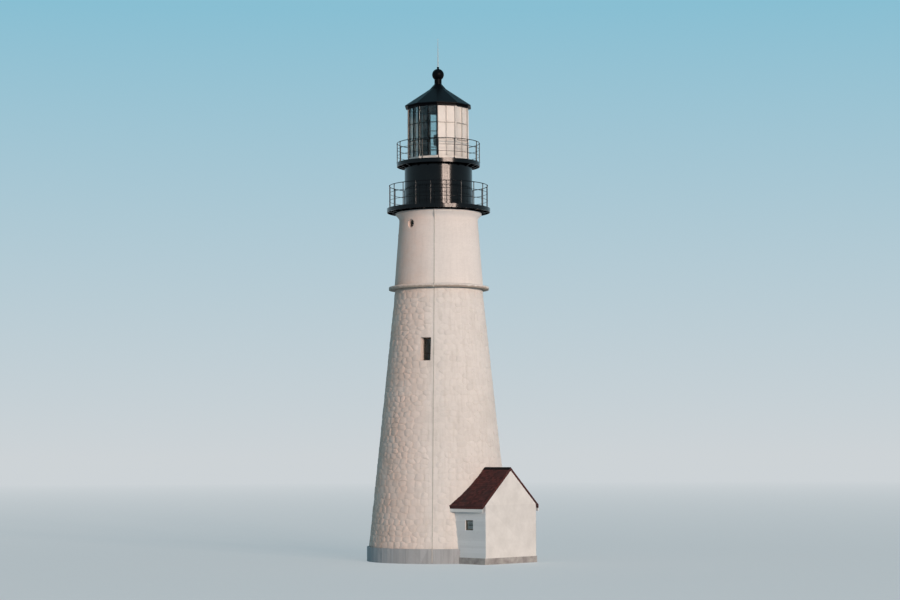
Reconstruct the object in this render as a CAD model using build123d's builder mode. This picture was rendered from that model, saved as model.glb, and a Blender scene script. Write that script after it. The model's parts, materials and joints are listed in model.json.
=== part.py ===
from build123d import *
from math import acos, atan2, cos, degrees, radians, sin, sqrt, tan
import os

# A white conical lighthouse with two black iron galleries, a ten-sided lantern and a small entry
# wing. The origin is on the tower's axis at ground level, +Z is up, and the wing runs out along +X.
# Angles are degrees from +X towards +Y. Lengths are millimetres.

os.makedirs("parts", exist_ok=True)

# Fits
seat_gap = 0.3  # clearance of a fitted piece from what it seats in or on
seam = 0.5  # joint between like stones or plates that share one node

# Round forms are drawn with flats. A radius is always measured to their corners.
flats = 60  # of the tower and its galleries, with a corner on +X
small_flats = 16  # of the ventilator and the beacon
rod_flats = 8

# Stone cone
base_radius = 3530  # outside, at the ground
stone_batter = 0.104  # loss of radius for each unit of height
stone_top = 13300
foot_wall_thickness = 1280
top_wall_thickness = 670  # under the belt course
plinth_height = 700
plinth_projection = 50
quarter = 90  # each wall segment is a quarter of the ring
first_seam = -45  # the quarters meet at this angle and every quarter from it

# Doorway from the entry wing into the tower
floor_top = 450
doorway_width = 900
doorway_height = 2050

# Belt course
belt_height = 210
belt_projection = 330  # beyond the top of the stone cone
belt_weathering = 60  # fall of its sloped top
belt_stones = 20

# Brick section and its flared cornice
brick_setback = 40  # its foot stands this far outside the top of the stone cone
brick_batter = 0.077
brick_height = 3210
cornice_height = 400
cornice_projection = 200
cornice_lip_height = 90  # upright band at the top of the flare
cornice_blocks = 10
cove_runs = 3  # straight runs that make up its hollow curve

# Tower window and small round window
window_angle = -60.5
window_sill = 9720
window_width = 520
window_height = 1130
window_setback = 620  # from the wall's face to the frame
frame_depth = 80
frame_bar = 55
glass_thickness = 8
porthole_angle = -89
porthole_drop = 235  # from the top of the bricks to its middle
porthole_radius = 205
porthole_setback = 200

# Lightning conductor down the wall
conductor_flat = -9  # which of the wall's flats it runs down, counted from +X
conductor_width = 40
conductor_thickness = 22
conductor_foot = 60

# Main gallery
bearing_ring_height = 170
bearing_ring_setback = 100  # from the face of the cornice
bearing_ring_arcs = 10
main_deck_reach = 525  # beyond the bearing ring
main_deck_thickness = 70
main_bracket_count = 20
bracket_thickness = 45
bracket_toe = 100  # height of a bracket's outer end
bracket_sag = 20  # hollow of its curved underside
bracket_runs = 3  # straight runs that make up that curve
bracket_reach_margin = 35  # the deck runs this far past its brackets
deck_plates = 20  # sector plates of each deck
rim_arcs = 10
deck_rim_height = 200
deck_rim_thickness = 25

# Stair openings in the two floors
hatch_width = 800
hatch_length = 900
hatch_margin = 700  # from the inside of the brick wall to its middle

# Watch room
watch_setback = 360  # from the face of the bearing ring
watch_wall_thickness = 150
watch_height = 2220
watch_floor_thickness = 40
watch_wall_plates = 12
watch_door_angle = 90
watch_door_width = 660
watch_door_height = 1850
door_thickness = 50
door_recess = 30  # from the inside of the wall

# Upper gallery
upper_deck_reach = 390  # beyond the watch room's wall
upper_deck_shelf = 250  # inside the watch room's wall, for the lantern to stand on
upper_deck_thickness = 70
upper_bracket_count = 20
upper_bracket_height = 240

# Railings
main_railing_inset = 120  # from the deck's edge to the middle of the posts
upper_railing_inset = 25
post_size = 45
rail_size = 38
mid_rail_size = 26
main_railing_height = 1150
main_railing_bays = 20
upper_railing_height = 1000
upper_railing_bays = 16
mid_rails = 2

# Lantern
lantern_sides = 10
lantern_setback = 107  # from the face of the watch room's wall to its corners
lantern_first_corner = -47
lantern_wall_thickness = 90
curb_height = 190
glazing_height = 2480
lantern_floor_thickness = 35
lantern_post_width = 70
head_height = 110
bar_width = 34
bar_depth = 60
tiers = 3
panel_thickness = 16
glass_sides = (-3, -2, -1, 5)  # sides counted from the first corner, the sea side
half_glass_side = 5  # the back side, whose other half is the lantern door
white_corners = (1, 2, 3, 4)  # the corners between two blank sides

# Lantern roof and ventilator
eave_projection = 140  # beyond the lantern's corners
eave_thickness = 40
roof_break_radius = 430
roof_break_rise = 910
roof_top_radius = 200
roof_rise = 1170
roof_shell = 60
roof_seat_width = 60  # of the head ring that the roof rests on
neck_radius = 180
neck_height = 300
ball_radius = 300
ball_runs = 6  # straight runs in the ball's outline from its neck to its top
ball_shell = 15
collar_radius = 55
collar_height = 50
rod_height = 1450
rod_radius = 20
rod_tip_radius = 7

# Beacon
pedestal_radius = 90
pedestal_foot_radius = 220
pedestal_foot_height = 30
pedestal_height = 850
beacon_radius = 230
beacon_height = 520
beacon_rib = 25
beacon_rib_height = 170

# Entry wing
wing_width = 3500
wing_end = 4800  # outer face of the party wall
wing_wall_thickness = 200
party_wall_thickness = 250
wing_eave_height = 2750
wing_ridge_height = 4550
wing_overhang = 200
wing_roof_thickness = 110
wing_slab_height = 300
wing_slab_margin = 60
wing_window_x = 3720
wing_window_sill = 1600
wing_window_width = 520
wing_window_height = 470
wing_window_setback = 50
wing_frame_depth = 70
fascia_height = 150
fascia_thickness = 30
ridge_cap_width = 130
ridge_cap_thickness = 18

# Levels and radii that follow from the sizes above
flat_angle = 360 / flats
flat_face = cos(radians(flat_angle / 2))  # from a corner's radius to the middle of a flat
stone_top_radius = base_radius - stone_batter * stone_top
inside_base_radius = base_radius - foot_wall_thickness
inside_top_radius = stone_top_radius - top_wall_thickness
plinth_radius = base_radius + plinth_projection
doorway_head = floor_top + doorway_height
belt_radius = stone_top_radius + belt_projection
brick_base = stone_top + belt_height
brick_top = brick_base + brick_height
brick_base_radius = stone_top_radius + brick_setback
brick_top_radius = brick_base_radius - brick_batter * brick_height
porthole_height = brick_top - porthole_drop
cornice_top = brick_top + cornice_height
cornice_radius = brick_top_radius + cornice_projection
bearing_ring_top = cornice_top + bearing_ring_height
bearing_ring_radius = cornice_radius - bearing_ring_setback
main_deck_top = bearing_ring_top + main_deck_thickness
main_deck_radius = bearing_ring_radius + main_deck_reach
hatch_x = hatch_margin - inside_top_radius
watch_top = main_deck_top + watch_height
watch_radius = bearing_ring_radius - watch_setback
watch_inside_radius = watch_radius - watch_wall_thickness
upper_deck_top = watch_top + upper_deck_thickness
upper_deck_radius = watch_radius + upper_deck_reach
upper_deck_inside_radius = watch_inside_radius - upper_deck_shelf
lantern_corner_radius = watch_radius - lantern_setback
eave_corner_radius = lantern_corner_radius + eave_projection
curb_top = upper_deck_top + curb_height
glazing_top = curb_top + glazing_height
head_top = glazing_top + head_height
neck_base = head_top + roof_rise
cut_reach = 2 * base_radius  # past everything that a cut has to pass


def stone_radius(height):
    """Outside radius of the stone cone at a height above the ground."""
    return base_radius - stone_batter * height


def stone_inside_radius(height):
    """Radius of the room inside the stone cone at a height above the ground."""
    return inside_base_radius - (inside_base_radius - inside_top_radius) * height / stone_top


def brick_radius(height):
    """Outside radius of the brick section at a height above the ground."""
    return brick_base_radius - brick_batter * (height - brick_base)


def polar_point(radius, angle):
    """The plan position at a radius and an angle."""
    return (radius * cos(radians(angle)), radius * sin(radians(angle)))


def upright_plane(angle):
    """The upright plane through the tower's axis, with its x axis pointing out at an angle."""
    a = radians(angle)
    return Plane(origin=(0, 0, 0), x_dir=(cos(a), sin(a), 0), z_dir=(sin(a), -cos(a), 0))


def facing_plane(angle, distance, height):
    """A plane that faces out of the tower at an angle, square to the radius, with its y axis up."""
    a = radians(angle)
    origin = (*polar_point(distance, angle), height)
    return Plane(origin=origin, x_dir=(-sin(a), cos(a), 0), z_dir=(cos(a), sin(a), 0))


def flat_sided_stage(low, low_radius, high, high_radius, sides, first_corner):
    """One stage of a many-sided body. It is drawn from its wider end, and turned over if that
    is the upper one, so that every side is a true flat."""
    rise = high - low
    lean = abs(low_radius - high_radius) * cos(radians(180 / sides))
    with BuildPart() as stage:
        with BuildSketch(Plane.XY.offset(low)):
            RegularPolygon(max(low_radius, high_radius), sides, rotation=first_corner)
        extrude(amount=rise, taper=degrees(atan2(lean, rise)))
        if high_radius > low_radius:
            mirror(about=Plane.XY.offset(low + rise / 2), mode=Mode.REPLACE)
    return stage.part


def flat_sided(stages, sides=flats, first_corner=0):
    """A many-sided body on the tower's axis, from pairs of a height and a corner radius."""
    with BuildPart() as body:
        for (low, low_radius), (high, high_radius) in zip(stages, stages[1:]):
            if high > low:
                add(flat_sided_stage(low, low_radius, high, high_radius, sides, first_corner))
    return body.part


def ring(outside, inside, sides=flats, first_corner=0):
    """A ring wall: one many-sided body with another taken out of it."""
    with BuildPart() as wall:
        add(flat_sided(outside, sides, first_corner))
        add(flat_sided(inside, sides, first_corner), mode=Mode.SUBTRACT)
    return wall.part


def parted(body, count, first_joint=0):
    """A ring cut into equal stones or plates, a joint apart."""
    with BuildPart() as pieces:
        add(body)
        with PolarLocations(0, count, start_angle=first_joint):
            Box(cut_reach, seam, head_top, align=(Align.MIN, Align.CENTER, Align.MIN),
                mode=Mode.SUBTRACT)
    return pieces.part


def quarter_of(body, turn):
    """A quarter of a ring: the first starts at the first seam, and each turn is one on."""
    with BuildPart() as piece:
        add(body)
        with PolarLocations(0, 1, start_angle=first_seam + quarter * turn):
            Box(cut_reach, cut_reach, head_top, align=(Align.MIN, Align.MIN, Align.MIN),
                mode=Mode.INTERSECT)
    return piece.part


def square_frame(plane, width, height, bar, depth):
    """A rectangular frame that stands out from a plane."""
    with BuildPart() as frame:
        with BuildSketch(plane):
            Rectangle(width, height)
            Rectangle(width - 2 * bar, height - 2 * bar, mode=Mode.SUBTRACT)
        extrude(amount=depth)
    return frame.part


def sheet(plane, width, height, thickness):
    """A plain rectangular sheet that stands out from a plane."""
    with BuildPart() as panel:
        with BuildSketch(plane):
            Rectangle(width, height)
        extrude(amount=thickness)
    return panel.part


# Foundation: a low plinth ring, open at the doorway, and the floor slab inside it
with BuildPart() as foundation_plinth:
    add(ring(((0, plinth_radius), (plinth_height, plinth_radius)),
             ((0, inside_base_radius), (plinth_height, stone_inside_radius(plinth_height)))))
    with BuildSketch(facing_plane(0, 0, plinth_height / 2)):
        Rectangle(doorway_width, plinth_height)
    extrude(amount=cut_reach, mode=Mode.SUBTRACT)
foundation_plinth.part.label = "foundation_plinth"
export_step(foundation_plinth.part, "parts/foundation_plinth.step")

with BuildPart() as ground_floor:
    add(flat_sided(((0, inside_base_radius - seat_gap),
                    (floor_top, stone_inside_radius(floor_top) - seat_gap))))
    with BuildSketch(Plane.XY):
        RegularPolygon(plinth_radius, flats)
        with Locations((plinth_radius / 2, 0)):
            Rectangle(plinth_radius, doorway_width - 2 * seat_gap, mode=Mode.INTERSECT)
    extrude(amount=floor_top)
ground_floor.part.label = "ground_floor"
export_step(ground_floor.part, "parts/ground_floor.step")


# Stone cone: three plain quarters, and the fourth split beside and over the doorway
def stone_ring(low, high):
    """The whole round of the stone wall between two heights."""
    return ring(((low, stone_radius(low)), (high, stone_radius(high))),
                ((low, stone_inside_radius(low)), (high, stone_inside_radius(high))))


full_stone_ring = stone_ring(plinth_height, stone_top)
for turn, name in ((1, "north"), (2, "west")):
    with BuildPart() as stone_wall:
        add(quarter_of(full_stone_ring, turn))
    stone_wall.part.label = f"stone_wall_{name}"
    export_step(stone_wall.part, f"parts/stone_wall_{name}.step")

window_middle = window_sill + window_height / 2
with BuildPart() as stone_wall_south:
    add(quarter_of(full_stone_ring, -1))
    with BuildSketch(facing_plane(window_angle, 0, window_middle)):
        Rectangle(window_width, window_height)
    extrude(amount=cut_reach, mode=Mode.SUBTRACT)
stone_wall_south.part.label = "stone_wall_south"
export_step(stone_wall_south.part, "parts/stone_wall_south.step")

with BuildPart() as stone_wall_over_door:
    add(quarter_of(stone_ring(doorway_head, stone_top), 0))
stone_wall_over_door.part.label = "stone_wall_over_door"
export_step(stone_wall_over_door.part, "parts/stone_wall_over_door.step")

with BuildPart() as both_jambs:
    add(quarter_of(stone_ring(plinth_height, doorway_head), 0))
    with BuildSketch(facing_plane(0, 0, (plinth_height + doorway_head) / 2)):
        Rectangle(doorway_width, doorway_head - plinth_height)
    extrude(amount=cut_reach, mode=Mode.SUBTRACT)
for name, jamb in zip(("right", "left"), both_jambs.solids().sort_by(Axis.Y)):
    with BuildPart() as door_jamb:
        add(jamb)
    door_jamb.part.label = f"stone_wall_door_{name}"
    export_step(door_jamb.part, f"parts/stone_wall_door_{name}.step")

# Belt course: projecting stones with a sloped top, through the whole wall
with BuildPart() as belt_course:
    belt_ring = ring(((stone_top, belt_radius), (brick_base - belt_weathering, belt_radius),
                      (brick_base, brick_base_radius)),
                     ((stone_top, inside_top_radius), (brick_base, inside_top_radius)))
    add(parted(belt_ring, belt_stones))
belt_course.part.label = "belt_course"
export_step(belt_course.part, "parts/belt_course.step")

# Brick section
brick_ring = ring(((brick_base, brick_base_radius), (brick_top, brick_top_radius)),
                  ((brick_base, inside_top_radius), (brick_top, inside_top_radius)))
for turn, name in enumerate(("east", "north", "west")):
    with BuildPart() as brick_wall:
        add(quarter_of(brick_ring, turn))
    brick_wall.part.label = f"brick_wall_{name}"
    export_step(brick_wall.part, f"parts/brick_wall_{name}.step")

with BuildPart() as brick_wall_south:
    add(quarter_of(brick_ring, -1))
    with BuildSketch(facing_plane(porthole_angle, 0, porthole_height)):
        Circle(porthole_radius)
    extrude(amount=cut_reach, mode=Mode.SUBTRACT)
brick_wall_south.part.label = "brick_wall_south"
export_step(brick_wall_south.part, "parts/brick_wall_south.step")

# Cornice: a cove that flares out to an upright lip, in blocks that break joint with the ring above
cove_height = cornice_height - cornice_lip_height
cove = [(brick_top + cove_height * run / cove_runs,
         brick_top_radius + cornice_projection * (run / cove_runs) ** 2)
        for run in range(cove_runs + 1)]
with BuildPart() as cornice:
    cornice_ring = ring(cove + [(cornice_top, cornice_radius)],
                        ((brick_top, inside_top_radius), (cornice_top, inside_top_radius)))
    add(parted(cornice_ring, cornice_blocks, 180 / cornice_blocks))
cornice.part.label = "cornice"
export_step(cornice.part, "parts/cornice.step")

# Tower windows: a square one in the stone and a round one in the brick
window_back = stone_radius(window_middle) - window_setback - frame_depth
porthole_back = brick_radius(porthole_height) - porthole_setback - frame_depth
fit_width = window_width - 2 * seat_gap
fit_height = window_height - 2 * seat_gap
pane_inset = 2 * (frame_bar + seat_gap)
pane_back = (frame_depth - glass_thickness) / 2

with BuildPart() as tower_window_frames:
    add(square_frame(facing_plane(window_angle, window_back, window_middle), fit_width, fit_height,
                     frame_bar, frame_depth))
    with BuildSketch(facing_plane(porthole_angle, porthole_back, porthole_height)):
        Circle(porthole_radius - seat_gap)
        Circle(porthole_radius - frame_bar, mode=Mode.SUBTRACT)
    extrude(amount=frame_depth)
tower_window_frames.part.label = "tower_window_frames"
export_step(tower_window_frames.part, "parts/tower_window_frames.step")

with BuildPart() as tower_window_glass:
    add(sheet(facing_plane(window_angle, window_back + pane_back, window_middle),
              fit_width - pane_inset, fit_height - pane_inset, glass_thickness))
    with BuildSketch(facing_plane(porthole_angle, porthole_back + pane_back, porthole_height)):
        Circle(porthole_radius - frame_bar - seat_gap)
    extrude(amount=glass_thickness)
tower_window_glass.part.label = "tower_window_glass"
export_step(tower_window_glass.part, "parts/tower_window_glass.step")

# Lightning conductor: a flat strip that follows the wall from under the gallery to the plinth
on_stone = plinth_height + seat_gap
under_belt = stone_top - seat_gap
over_belt = brick_base + seat_gap
wall_line = (
    (plinth_radius, conductor_foot),
    (plinth_radius, on_stone),
    (stone_radius(on_stone), on_stone),
    (stone_radius(under_belt), under_belt),
    (belt_radius, under_belt),
    (belt_radius, brick_base - belt_weathering),
    (brick_radius(over_belt), over_belt),
    (brick_top_radius, brick_top),
    (cornice_radius, cornice_top - cornice_lip_height),
    (cornice_radius, cornice_top),
)
with BuildPart() as lightning_conductor:
    with BuildSketch(upright_plane(flat_angle * (conductor_flat + 0.5))):
        with BuildLine():
            Polyline(*[(radius * flat_face + seat_gap, height) for radius, height in wall_line])
            offset(amount=conductor_thickness, kind=Kind.INTERSECTION, side=Side.RIGHT)
        make_face()
    extrude(amount=conductor_width / 2, both=True)
lightning_conductor.part.label = "lightning_conductor"
export_step(lightning_conductor.part, "parts/lightning_conductor.step")

# Main gallery: bearing ring, brackets, deck plates, rim, and the watch room's floor
with BuildPart() as main_gallery_ring:
    iron_ring = ring(((cornice_top, bearing_ring_radius), (bearing_ring_top, bearing_ring_radius)),
                     ((cornice_top, inside_top_radius), (bearing_ring_top, inside_top_radius)))
    add(parted(iron_ring, bearing_ring_arcs))
main_gallery_ring.part.label = "main_gallery_ring"
export_step(main_gallery_ring.part, "parts/main_gallery_ring.step")


def bracket(root, tip, top, height):
    """One gusset with a hollow underside, that stands out from a ring under a deck."""
    underside = []
    for run in range(bracket_runs + 1):
        along = run / bracket_runs
        drop = height + (bracket_toe - height) * along - 4 * bracket_sag * along * (1 - along)
        underside.append((root + (tip - root) * along, top - drop))
    with BuildPart() as gusset:
        with BuildSketch(Plane.XZ):
            with BuildLine():
                Polyline(*underside, (tip, top), (root, top), close=True)
            make_face()
        extrude(amount=bracket_thickness / 2, both=True)
    return gusset.part


def brackets_round(root_radius, deck_radius, top, height, count):
    """The ring of brackets under one gallery, each in the middle of a flat that it seats against."""
    gusset = bracket(root_radius * flat_face + seat_gap, deck_radius - bracket_reach_margin, top,
                     height)
    with BuildPart() as gussets:
        with PolarLocations(0, count, start_angle=180 / count):
            add(gusset)
    return gussets.part


def deck(radius, inside_radius, top, thickness):
    """A round deck of sector plates."""
    edge = radius - deck_rim_thickness - seat_gap
    return parted(ring(((top - thickness, edge), (top, edge)),
                       ((top - thickness, inside_radius), (top, inside_radius))), deck_plates)


def deck_rim(radius, top):
    """The upright band round a deck's edge, in arcs that break joint with the plates."""
    foot = top - deck_rim_height
    inner = radius - deck_rim_thickness
    return parted(ring(((foot, radius), (top, radius)), ((foot, inner), (top, inner))),
                  rim_arcs, flat_angle)


def floor_plate(radius, base, thickness, sides=flats, first_corner=0):
    """A floor plate that lies on the inner edge of a deck, with its stair opening."""
    with BuildPart() as plate:
        with BuildSketch(Plane.XY.offset(base)):
            RegularPolygon(radius, sides, rotation=first_corner)
            with Locations((hatch_x, 0)):
                Rectangle(hatch_width, hatch_length, mode=Mode.SUBTRACT)
        extrude(amount=thickness)
    return plate.part


with BuildPart() as main_gallery_brackets:
    add(brackets_round(bearing_ring_radius, main_deck_radius, bearing_ring_top,
                       bearing_ring_height - seat_gap, main_bracket_count))
main_gallery_brackets.part.label = "main_gallery_brackets"
export_step(main_gallery_brackets.part, "parts/main_gallery_brackets.step")

with BuildPart() as main_gallery_deck:
    add(deck(main_deck_radius, inside_top_radius, main_deck_top, main_deck_thickness))
main_gallery_deck.part.label = "main_gallery_deck"
export_step(main_gallery_deck.part, "parts/main_gallery_deck.step")

with BuildPart() as main_gallery_rim:
    add(deck_rim(main_deck_radius, main_deck_top))
main_gallery_rim.part.label = "main_gallery_rim"
export_step(main_gallery_rim.part, "parts/main_gallery_rim.step")

with BuildPart() as watch_room_floor:
    add(floor_plate(watch_inside_radius - seat_gap, main_deck_top, watch_floor_thickness))
watch_room_floor.part.label = "watch_room_floor"
export_step(watch_room_floor.part, "parts/watch_room_floor.step")


# Railings: each bay is a post with its rails, a joint short of the next post
def rail_outline(radius, size, sweep):
    """The plan of a rail that turns through an angle in two straight runs."""
    turns = (0, sweep / 2, sweep)
    outer = [polar_point(radius + size / 2, turn) for turn in turns]
    inner = [polar_point(radius - size / 2, turn) for turn in reversed(turns)]
    return outer + inner


def railing_bay(radius, deck_top, height, bays):
    """One bay of railing, from its post to just before the next."""
    rails_end = 360 / bays - degrees((post_size / 2 + seam) / radius)
    levels = [(deck_top + height - rail_size / 2, rail_size)]
    for rail in range(mid_rails):
        levels.append((deck_top + height * (rail + 1) / (mid_rails + 1), mid_rail_size))
    with BuildPart() as bay:
        with BuildSketch(Plane.XY.offset(deck_top)):
            with Locations((radius, 0)):
                Rectangle(post_size, post_size)
        extrude(amount=height)
        for level, size in levels:
            with BuildSketch(Plane.XY.offset(level - size / 2)):
                with BuildLine():
                    Polyline(*rail_outline(radius, size, rails_end), close=True)
                make_face()
            extrude(amount=size)
    return bay.part


for name, radius, deck_top, height, bays in (
    ("main", main_deck_radius - main_railing_inset, main_deck_top, main_railing_height,
     main_railing_bays),
    ("upper", upper_deck_radius - upper_railing_inset, upper_deck_top, upper_railing_height,
     upper_railing_bays),
):
    bay_part = railing_bay(radius, deck_top, height, bays)
    with BuildPart() as railing:
        with PolarLocations(0, bays):
            add(bay_part)
    railing.part.label = f"{name}_gallery_railing"
    export_step(railing.part, f"parts/{name}_gallery_railing.step")

# Watch room: iron wall plates, one of them cut for the closed door
watch_door_middle = main_deck_top + watch_door_height / 2
with BuildPart() as watch_room_wall:
    watch_ring = ring(((main_deck_top, watch_radius), (watch_top, watch_radius)),
                      ((main_deck_top, watch_inside_radius), (watch_top, watch_inside_radius)))
    add(parted(watch_ring, watch_wall_plates, watch_door_angle + 180 / watch_wall_plates))
    with BuildSketch(facing_plane(watch_door_angle, 0, watch_door_middle)):
        Rectangle(watch_door_width, watch_door_height)
    extrude(amount=cut_reach, mode=Mode.SUBTRACT)
watch_room_wall.part.label = "watch_room_wall"
export_step(watch_room_wall.part, "parts/watch_room_wall.step")

with BuildPart() as watch_room_door:
    add(sheet(facing_plane(watch_door_angle, watch_inside_radius + door_recess, watch_door_middle),
              watch_door_width - 2 * seat_gap, watch_door_height - 2 * seat_gap, door_thickness))
watch_room_door.part.label = "watch_room_door"
export_step(watch_room_door.part, "parts/watch_room_door.step")

# Upper gallery
with BuildPart() as upper_gallery_brackets:
    add(brackets_round(watch_radius, upper_deck_radius, watch_top, upper_bracket_height,
                       upper_bracket_count))
upper_gallery_brackets.part.label = "upper_gallery_brackets"
export_step(upper_gallery_brackets.part, "parts/upper_gallery_brackets.step")

with BuildPart() as upper_gallery_deck:
    add(deck(upper_deck_radius, upper_deck_inside_radius, upper_deck_top, upper_deck_thickness))
upper_gallery_deck.part.label = "upper_gallery_deck"
export_step(upper_gallery_deck.part, "parts/upper_gallery_deck.step")

with BuildPart() as upper_gallery_rim:
    add(deck_rim(upper_deck_radius, upper_deck_top))
upper_gallery_rim.part.label = "upper_gallery_rim"
export_step(upper_gallery_rim.part, "parts/upper_gallery_rim.step")

# Lantern
side_angle = 360 / lantern_sides
half_side = side_angle / 2
flat_distance = lantern_corner_radius * cos(radians(half_side))
inside_corner_radius = (flat_distance - lantern_wall_thickness) / cos(radians(half_side))


def lantern_ring(base, height):
    """A ten-sided ring wall of ten straight blocks."""
    top = base + height
    whole = ring(((base, lantern_corner_radius), (top, lantern_corner_radius)),
                 ((base, inside_corner_radius), (top, inside_corner_radius)),
                 lantern_sides, lantern_first_corner)
    return parted(whole, lantern_sides, lantern_first_corner)


with BuildPart() as lantern_floor:
    add(floor_plate(inside_corner_radius - seat_gap, upper_deck_top, lantern_floor_thickness,
                    lantern_sides, lantern_first_corner))
lantern_floor.part.label = "lantern_floor"
export_step(lantern_floor.part, "parts/lantern_floor.step")

with BuildPart() as lantern_curb:
    add(lantern_ring(upper_deck_top, curb_height))
lantern_curb.part.label = "lantern_curb"
export_step(lantern_curb.part, "parts/lantern_curb.step")

with BuildPart() as lantern_head_ring:
    add(lantern_ring(glazing_top, head_height))
lantern_head_ring.part.label = "lantern_head_ring"
export_step(lantern_head_ring.part, "parts/lantern_head_ring.step")


def corner_posts(corners):
    """Posts at some of the lantern's corners, counted from the first corner."""
    with BuildPart() as posts:
        with BuildSketch(Plane.XY.offset(curb_top)):
            for corner in corners:
                with PolarLocations(lantern_corner_radius - lantern_post_width / 2, 1,
                                    start_angle=lantern_first_corner + side_angle * corner):
                    Rectangle(lantern_post_width, lantern_post_width)
        extrude(amount=glazing_height)
    return posts.part


with BuildPart() as lantern_posts:
    add(corner_posts(sorted(set(range(lantern_sides)) - set(white_corners))))
lantern_posts.part.label = "lantern_posts"
export_step(lantern_posts.part, "parts/lantern_posts.step")

# Between two posts: a middle bar and two cross bars, with a sheet behind them. On the blank
# sides they are white, as the panels and the posts there are.
side_length = 2 * flat_distance * tan(radians(half_side))
post_shadow = lantern_post_width * (1 + 2 * sin(radians(half_side)))
bay_clear_width = side_length - post_shadow - 2 * seat_gap
panel_back = flat_distance - bar_depth - panel_thickness
tier_height = glazing_height / tiers
half_width = (bay_clear_width - seam) / 2
half_shift = (half_width + seam) / 2
sheet_height = glazing_height - 2 * seat_gap
blank_sides = set(range(lantern_sides)) - {side % lantern_sides for side in glass_sides}


def lantern_side_plane(side, distance):
    """The plane of one side of the lantern, at the middle of its height."""
    angle = lantern_first_corner + side_angle * side + half_side
    return facing_plane(angle, distance, curb_top + glazing_height / 2)


def side_bars(sides):
    """The middle bar and the cross bars of some of the lantern's sides."""
    with BuildPart() as bars:
        for side in sides:
            with BuildSketch(lantern_side_plane(side, panel_back + panel_thickness)):
                Rectangle(bar_width, sheet_height)
                for tier in range(1, tiers):
                    with Locations((0, tier * tier_height - glazing_height / 2)):
                        Rectangle(bay_clear_width, bar_width)
            extrude(amount=bar_depth)
    return bars.part


with BuildPart() as lantern_glazing_bars:
    add(side_bars(glass_sides))
lantern_glazing_bars.part.label = "lantern_glazing_bars"
export_step(lantern_glazing_bars.part, "parts/lantern_glazing_bars.step")

with BuildPart() as lantern_glass:
    for side in glass_sides:
        with BuildSketch(lantern_side_plane(side, panel_back)):
            if side == half_glass_side:
                with Locations((-half_shift, 0)):
                    Rectangle(half_width, sheet_height)
            else:
                Rectangle(bay_clear_width, sheet_height)
        extrude(amount=panel_thickness - seat_gap)
lantern_glass.part.label = "lantern_glass"
export_step(lantern_glass.part, "parts/lantern_glass.step")

with BuildPart() as lantern_blank_panels:
    for side in sorted(blank_sides):
        with BuildSketch(lantern_side_plane(side, panel_back)):
            Rectangle(bay_clear_width, sheet_height)
        extrude(amount=panel_thickness - seat_gap)
    add(side_bars(sorted(blank_sides)))
    add(corner_posts(white_corners))
lantern_blank_panels.part.label = "lantern_blank_panels"
export_step(lantern_blank_panels.part, "parts/lantern_blank_panels.step")

with BuildPart() as lantern_door:
    with BuildSketch(lantern_side_plane(half_glass_side, panel_back)):
        with Locations((half_shift, 0)):
            Rectangle(half_width, sheet_height)
    extrude(amount=panel_thickness - seat_gap)
lantern_door.part.label = "lantern_door"
export_step(lantern_door.part, "parts/lantern_door.step")

# Lantern roof: a ten-sided shell that seats on the head ring and steepens towards the ventilator
roof_seat_radius = lantern_corner_radius - roof_seat_width
with BuildPart() as lantern_roof:
    add(ring(((head_top, eave_corner_radius), (head_top + eave_thickness, eave_corner_radius),
              (head_top + roof_break_rise, roof_break_radius), (neck_base, roof_top_radius)),
             ((head_top, roof_seat_radius),
              (head_top + roof_break_rise - roof_shell, roof_break_radius - roof_shell),
              (neck_base, roof_top_radius - roof_shell)),
             lantern_sides, lantern_first_corner))
lantern_roof.part.label = "lantern_roof"
export_step(lantern_roof.part, "parts/lantern_roof.step")

# Ventilator: a neck that swells into a hollow ball, with a collar that holds the rod
ball_centre = neck_base + neck_height + sqrt(ball_radius**2 - neck_radius**2)


def ball_outline(radius, foot_radius, top_radius):
    """Heights and radii of a ball about the ventilator's middle, from its neck to its top."""
    first = -degrees(acos(foot_radius / radius))
    last = degrees(acos(top_radius / radius))
    outline = []
    for run in range(ball_runs + 1):
        slope = radians(first + (last - first) * run / ball_runs)
        outline.append((ball_centre + radius * sin(slope), radius * cos(slope)))
    return outline


ball = ball_outline(ball_radius, neck_radius, collar_radius)
hollow = ball_outline(ball_radius - ball_shell, neck_radius - ball_shell, collar_radius)
collar_top = ball[-1][0] + collar_height
with BuildPart() as ventilator:
    add(ring([(neck_base, neck_radius)] + ball + [(collar_top, collar_radius)],
             [(neck_base, neck_radius - ball_shell)] + hollow,
             small_flats, lantern_first_corner))
ventilator.part.label = "ventilator"
export_step(ventilator.part, "parts/ventilator.step")

with BuildPart() as lightning_rod:
    add(flat_sided(((collar_top, rod_radius), (collar_top + rod_height, rod_tip_radius)), rod_flats))
lightning_rod.part.label = "lightning_rod"
export_step(lightning_rod.part, "parts/lightning_rod.step")

# Beacon on its pedestal
pedestal_base = upper_deck_top + lantern_floor_thickness
pedestal_foot_top = pedestal_base + pedestal_foot_height
beacon_base = pedestal_base + pedestal_height
rib_base = beacon_base + (beacon_height - beacon_rib_height) / 2
rib_top = rib_base + beacon_rib_height
with BuildPart() as beacon_pedestal:
    add(flat_sided(((pedestal_base, pedestal_foot_radius), (pedestal_foot_top, pedestal_foot_radius),
                    (pedestal_foot_top, pedestal_radius), (beacon_base, pedestal_radius)),
                   small_flats))
beacon_pedestal.part.label = "beacon_pedestal"
export_step(beacon_pedestal.part, "parts/beacon_pedestal.step")

with BuildPart() as beacon:
    add(flat_sided(((beacon_base, beacon_radius), (rib_base, beacon_radius),
                    (rib_base, beacon_radius + beacon_rib), (rib_top, beacon_radius + beacon_rib),
                    (rib_top, beacon_radius), (beacon_base + beacon_height, beacon_radius)),
                   small_flats))
beacon.part.label = "beacon"
export_step(beacon.part, "parts/beacon.step")

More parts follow.
